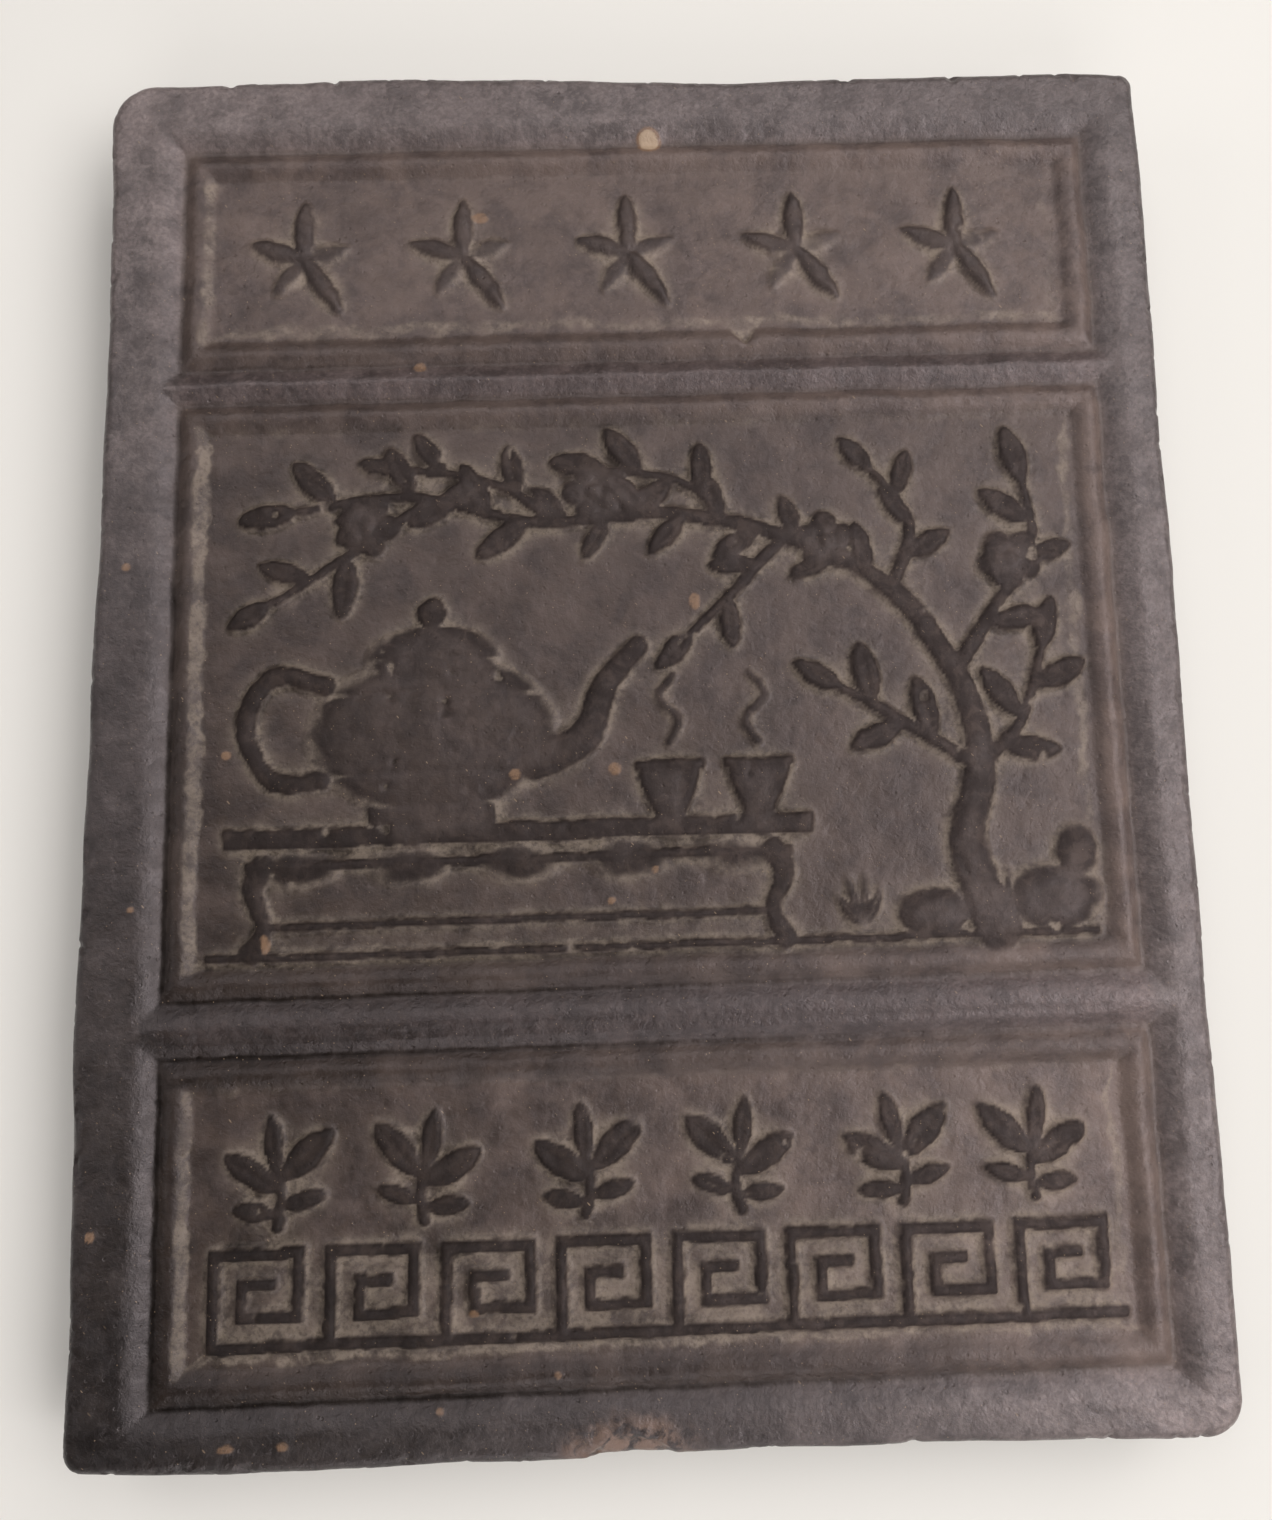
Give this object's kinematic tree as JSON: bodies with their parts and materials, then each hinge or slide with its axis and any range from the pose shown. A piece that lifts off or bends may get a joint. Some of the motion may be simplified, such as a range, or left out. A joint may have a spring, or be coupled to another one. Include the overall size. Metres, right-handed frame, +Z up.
{
  "type": "pressed black tea brick",
  "caption": "Flat pressed brick of black tea lying face up, with stepped and beaded panels of low relief: stars, a tea tree over a teapot and cups, and sprigs above a key fret.",
  "frame": {"origin": "middle of the underside's bounding box, on the surface that the brick lies on", "axes": "+X across the brick, to the right when the relief is read upright; +Y along the brick, from the key fret towards the stars; +Z up, out of the decorated face"},
  "size_m": [0.187, 0.237, 0.02],
  "materials": {
    "pressed_tea": "dense, fine-grained pressed tea: dark brown-black with a faint mauve sheen on the raised parts, tan tea dust in the hollows, matte to dull satin"
  },
  "bodies": {
    "root": {"tea_brick": "pressed_tea"}
  },
  "joints": []
}
